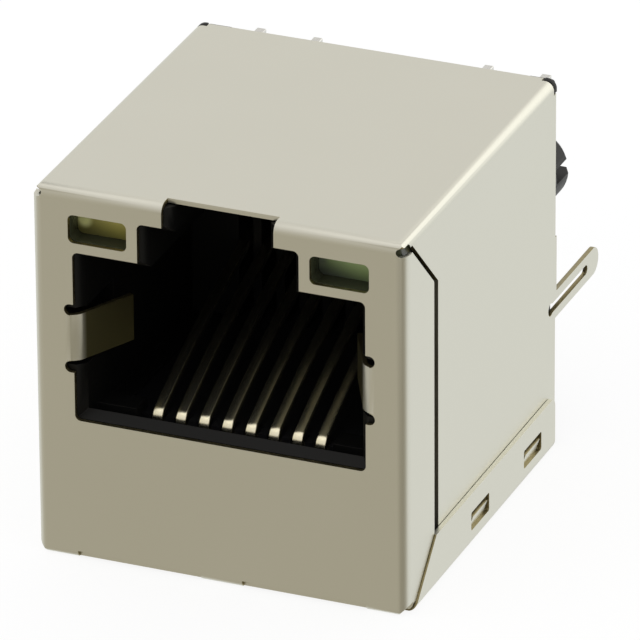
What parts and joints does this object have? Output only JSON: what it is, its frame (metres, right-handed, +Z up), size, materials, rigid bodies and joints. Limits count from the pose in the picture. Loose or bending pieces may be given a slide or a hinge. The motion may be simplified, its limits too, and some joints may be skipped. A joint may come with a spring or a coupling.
{
  "type": "shielded vertical rj45 board jack",
  "caption": "Shielded board jack for a modular network plug: folded metal shell, stepped port with spring fingers, lamps, sprung contacts, split pegs and slotted ground tabs at the rear.",
  "frame": {"origin": "centre of the box's footprint on the plane of the bottom panel, on which the jack lies", "axes": "+X across the port to the right as seen from in front, +Y from the port face back towards the circuit board, +Z up, from the contact side of the port to its latch side"},
  "size_m": [0.0164, 0.0219, 0.0165],
  "materials": {
    "shield_metal": "nickel-plated copper alloy sheet, satin, with bare cut edges",
    "housing_plastic": "black glass-filled PBT, moulded",
    "carrier_plastic": "black LCP, moulded",
    "contact_metal": "gold over nickel on phosphor bronze",
    "yellow_epoxy": "tinted clear epoxy",
    "green_epoxy": "tinted clear epoxy",
    "lead_metal": "tin-plated steel wire",
    "chip": "semiconductor die"
  },
  "bodies": {
    "root": {"shield": "shield_metal", "housing": "housing_plastic", "contact_carrier": "carrier_plastic", "contact_1": "contact_metal", "contact_2": "contact_metal", "contact_3": "contact_metal", "contact_4": "contact_metal", "contact_5": "contact_metal", "contact_6": "contact_metal", "contact_7": "contact_metal", "contact_8": "contact_metal", "lamp_left_body": "yellow_epoxy", "lamp_left_anode": "lead_metal", "lamp_left_cathode": "lead_metal", "lamp_left_chip": "chip", "lamp_left_wire": "contact_metal", "lamp_right_body": "green_epoxy", "lamp_right_anode": "lead_metal", "lamp_right_cathode": "lead_metal", "lamp_right_chip": "chip", "lamp_right_wire": "contact_metal"}
  },
  "joints": []
}
